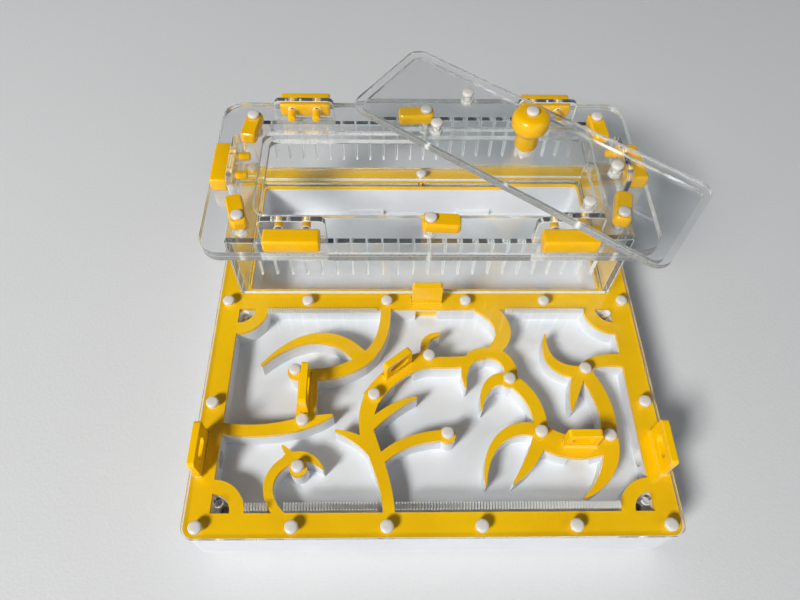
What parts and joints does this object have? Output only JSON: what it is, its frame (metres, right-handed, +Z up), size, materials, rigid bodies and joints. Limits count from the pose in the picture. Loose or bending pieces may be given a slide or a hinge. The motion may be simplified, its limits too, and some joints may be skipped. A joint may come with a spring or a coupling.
{
  "type": "ant habitat",
  "caption": "Shallow formicarium with vine-shaped nest walls under a screwed clear cover, sliding gates, and a clear feeding box with a loose lid, pull keys and swivel latches.",
  "frame": {"origin": "middle of the underside of the base plate, on the surface it stands on", "axes": "+Z up, +X to the right, +Y from the nest towards the box at the back"},
  "size_m": [0.2293, 0.2303, 0.1143],
  "materials": {
    "clear_acrylic": "clear polished acrylic",
    "white_body": "satin white",
    "yellow_acrylic": "glossy yellow acrylic sheet",
    "yellow_plastic": "glossy yellow plastic",
    "white_nylon": "satin nylon",
    "sponge_foam": "open foam"
  },
  "bodies": {
    "habitat": {"base_plate": "white_body", "body_front": "white_body", "body_left": "white_body", "body_right": "white_body", "body_back": "white_body", "body_middle": "white_body", "nest_floor": "white_body", "corner_pads": "white_body", "arena_floor": "white_body", "sponge": "sponge_foam", "walls_left": "white_body", "walls_middle": "white_body", "walls_right": "white_body", "border_cap": "yellow_acrylic", "cap_left": "yellow_acrylic", "cap_middle": "yellow_acrylic", "cap_right": "yellow_acrylic", "cover": "clear_acrylic", "border_screws": "white_nylon", "nest_screws": "white_nylon", "box_front": "clear_acrylic", "box_back": "clear_acrylic", "box_left": "clear_acrylic", "box_right": "clear_acrylic", "rim_lower": "clear_acrylic", "rim_upper": "clear_acrylic", "latch_screws": "white_nylon", "latch_washers": "white_nylon", "latch_nuts": "white_nylon"},
    "lid": {"lid_plate": "clear_acrylic", "lid_plug": "clear_acrylic", "lid_screws": "white_nylon", "lid_nuts": "white_nylon", "knob": "yellow_plastic", "knob_screw": "white_nylon"},
    "key_front_left_body": {"key_front_left": "yellow_plastic"},
    "key_front_right_body": {"key_front_right": "yellow_plastic"},
    "key_back_left_body": {"key_back_left": "yellow_plastic"},
    "key_back_right_body": {"key_back_right": "yellow_plastic"},
    "key_left_body": {"key_left": "yellow_plastic"},
    "key_right_body": {"key_right": "yellow_plastic"},
    "latch_front_left_body": {"latch_front_left": "yellow_plastic"},
    "latch_front_middle_body": {"latch_front_middle": "yellow_plastic"},
    "latch_front_right_body": {"latch_front_right": "yellow_plastic"},
    "latch_back_left_body": {"latch_back_left": "yellow_plastic"},
    "latch_back_middle_body": {"latch_back_middle": "yellow_plastic"},
    "latch_back_right_body": {"latch_back_right": "yellow_plastic"},
    "gate_entry_body": {"gate_entry": "yellow_acrylic"},
    "gate_left_body": {"gate_left": "yellow_acrylic"},
    "gate_right_body": {"gate_right": "yellow_acrylic"},
    "gate_nest_left_body": {"gate_nest_left": "yellow_acrylic"},
    "gate_nest_middle_body": {"gate_nest_middle": "yellow_acrylic"},
    "gate_nest_right_body": {"gate_nest_right": "yellow_acrylic"}
  },
  "joints": [
    {"name": "lid_lift", "type": "slide", "parent": "habitat", "child": "lid", "axis": [0, 0, 1], "range_m": [0, 0.06]},
    {"name": "key_front_left_pull", "type": "slide", "parent": "habitat", "child": "key_front_left_body", "axis": [0, -1, 0], "range_m": [0, 0.01]},
    {"name": "key_front_right_pull", "type": "slide", "parent": "habitat", "child": "key_front_right_body", "axis": [0, -1, 0], "range_m": [0, 0.01]},
    {"name": "key_back_left_pull", "type": "slide", "parent": "habitat", "child": "key_back_left_body", "axis": [0, 1, 0], "range_m": [0, 0.01]},
    {"name": "key_back_right_pull", "type": "slide", "parent": "habitat", "child": "key_back_right_body", "axis": [0, 1, 0], "range_m": [0, 0.01]},
    {"name": "key_left_pull", "type": "slide", "parent": "habitat", "child": "key_left_body", "axis": [-1, 0, 0], "range_m": [0, 0.01]},
    {"name": "key_right_pull", "type": "slide", "parent": "habitat", "child": "key_right_body", "axis": [1, 0, 0], "range_m": [0, 0.01]},
    {"name": "latch_front_left_turn", "type": "hinge", "parent": "habitat", "child": "latch_front_left_body", "pos_m": [-0.087, 0.0227, 0.08], "axis": [0, 0, 1], "range_deg": [-87, 60]},
    {"name": "latch_front_middle_turn", "type": "hinge", "parent": "habitat", "child": "latch_front_middle_body", "pos_m": [0, 0.0215, 0.08], "axis": [0, 0, 1], "range_deg": [-90, 120]},
    {"name": "latch_front_right_turn", "type": "hinge", "parent": "habitat", "child": "latch_front_right_body", "pos_m": [0.087, 0.0227, 0.08], "axis": [0, 0, 1], "range_deg": [-60, 83]},
    {"name": "latch_back_left_turn", "type": "hinge", "parent": "habitat", "child": "latch_back_left_body", "pos_m": [-0.087, 0.0883, 0.08], "axis": [0, 0, 1], "range_deg": [-60, 78]},
    {"name": "latch_back_middle_turn", "type": "hinge", "parent": "habitat", "child": "latch_back_middle_body", "pos_m": [0, 0.0895, 0.08], "axis": [0, 0, 1], "range_deg": [-90, 120]},
    {"name": "latch_back_right_turn", "type": "hinge", "parent": "habitat", "child": "latch_back_right_body", "pos_m": [0.087, 0.0883, 0.08], "axis": [0, 0, 1], "range_deg": [-74, 60]},
    {"name": "gate_entry_lift", "type": "slide", "parent": "habitat", "child": "gate_entry_body", "axis": [0, 0, 1], "range_m": [0, 0.013]},
    {"name": "gate_left_lift", "type": "slide", "parent": "habitat", "child": "gate_left_body", "axis": [0, 0, 1], "range_m": [0, 0.013]},
    {"name": "gate_right_lift", "type": "slide", "parent": "habitat", "child": "gate_right_body", "axis": [0, 0, 1], "range_m": [0, 0.013]},
    {"name": "gate_nest_left_lift", "type": "slide", "parent": "habitat", "child": "gate_nest_left_body", "axis": [0, 0, 1], "range_m": [0, 0.013]},
    {"name": "gate_nest_middle_lift", "type": "slide", "parent": "habitat", "child": "gate_nest_middle_body", "axis": [0, 0, 1], "range_m": [0, 0.013]},
    {"name": "gate_nest_right_lift", "type": "slide", "parent": "habitat", "child": "gate_nest_right_body", "axis": [0, 0, 1], "range_m": [0, 0.013]}
  ]
}
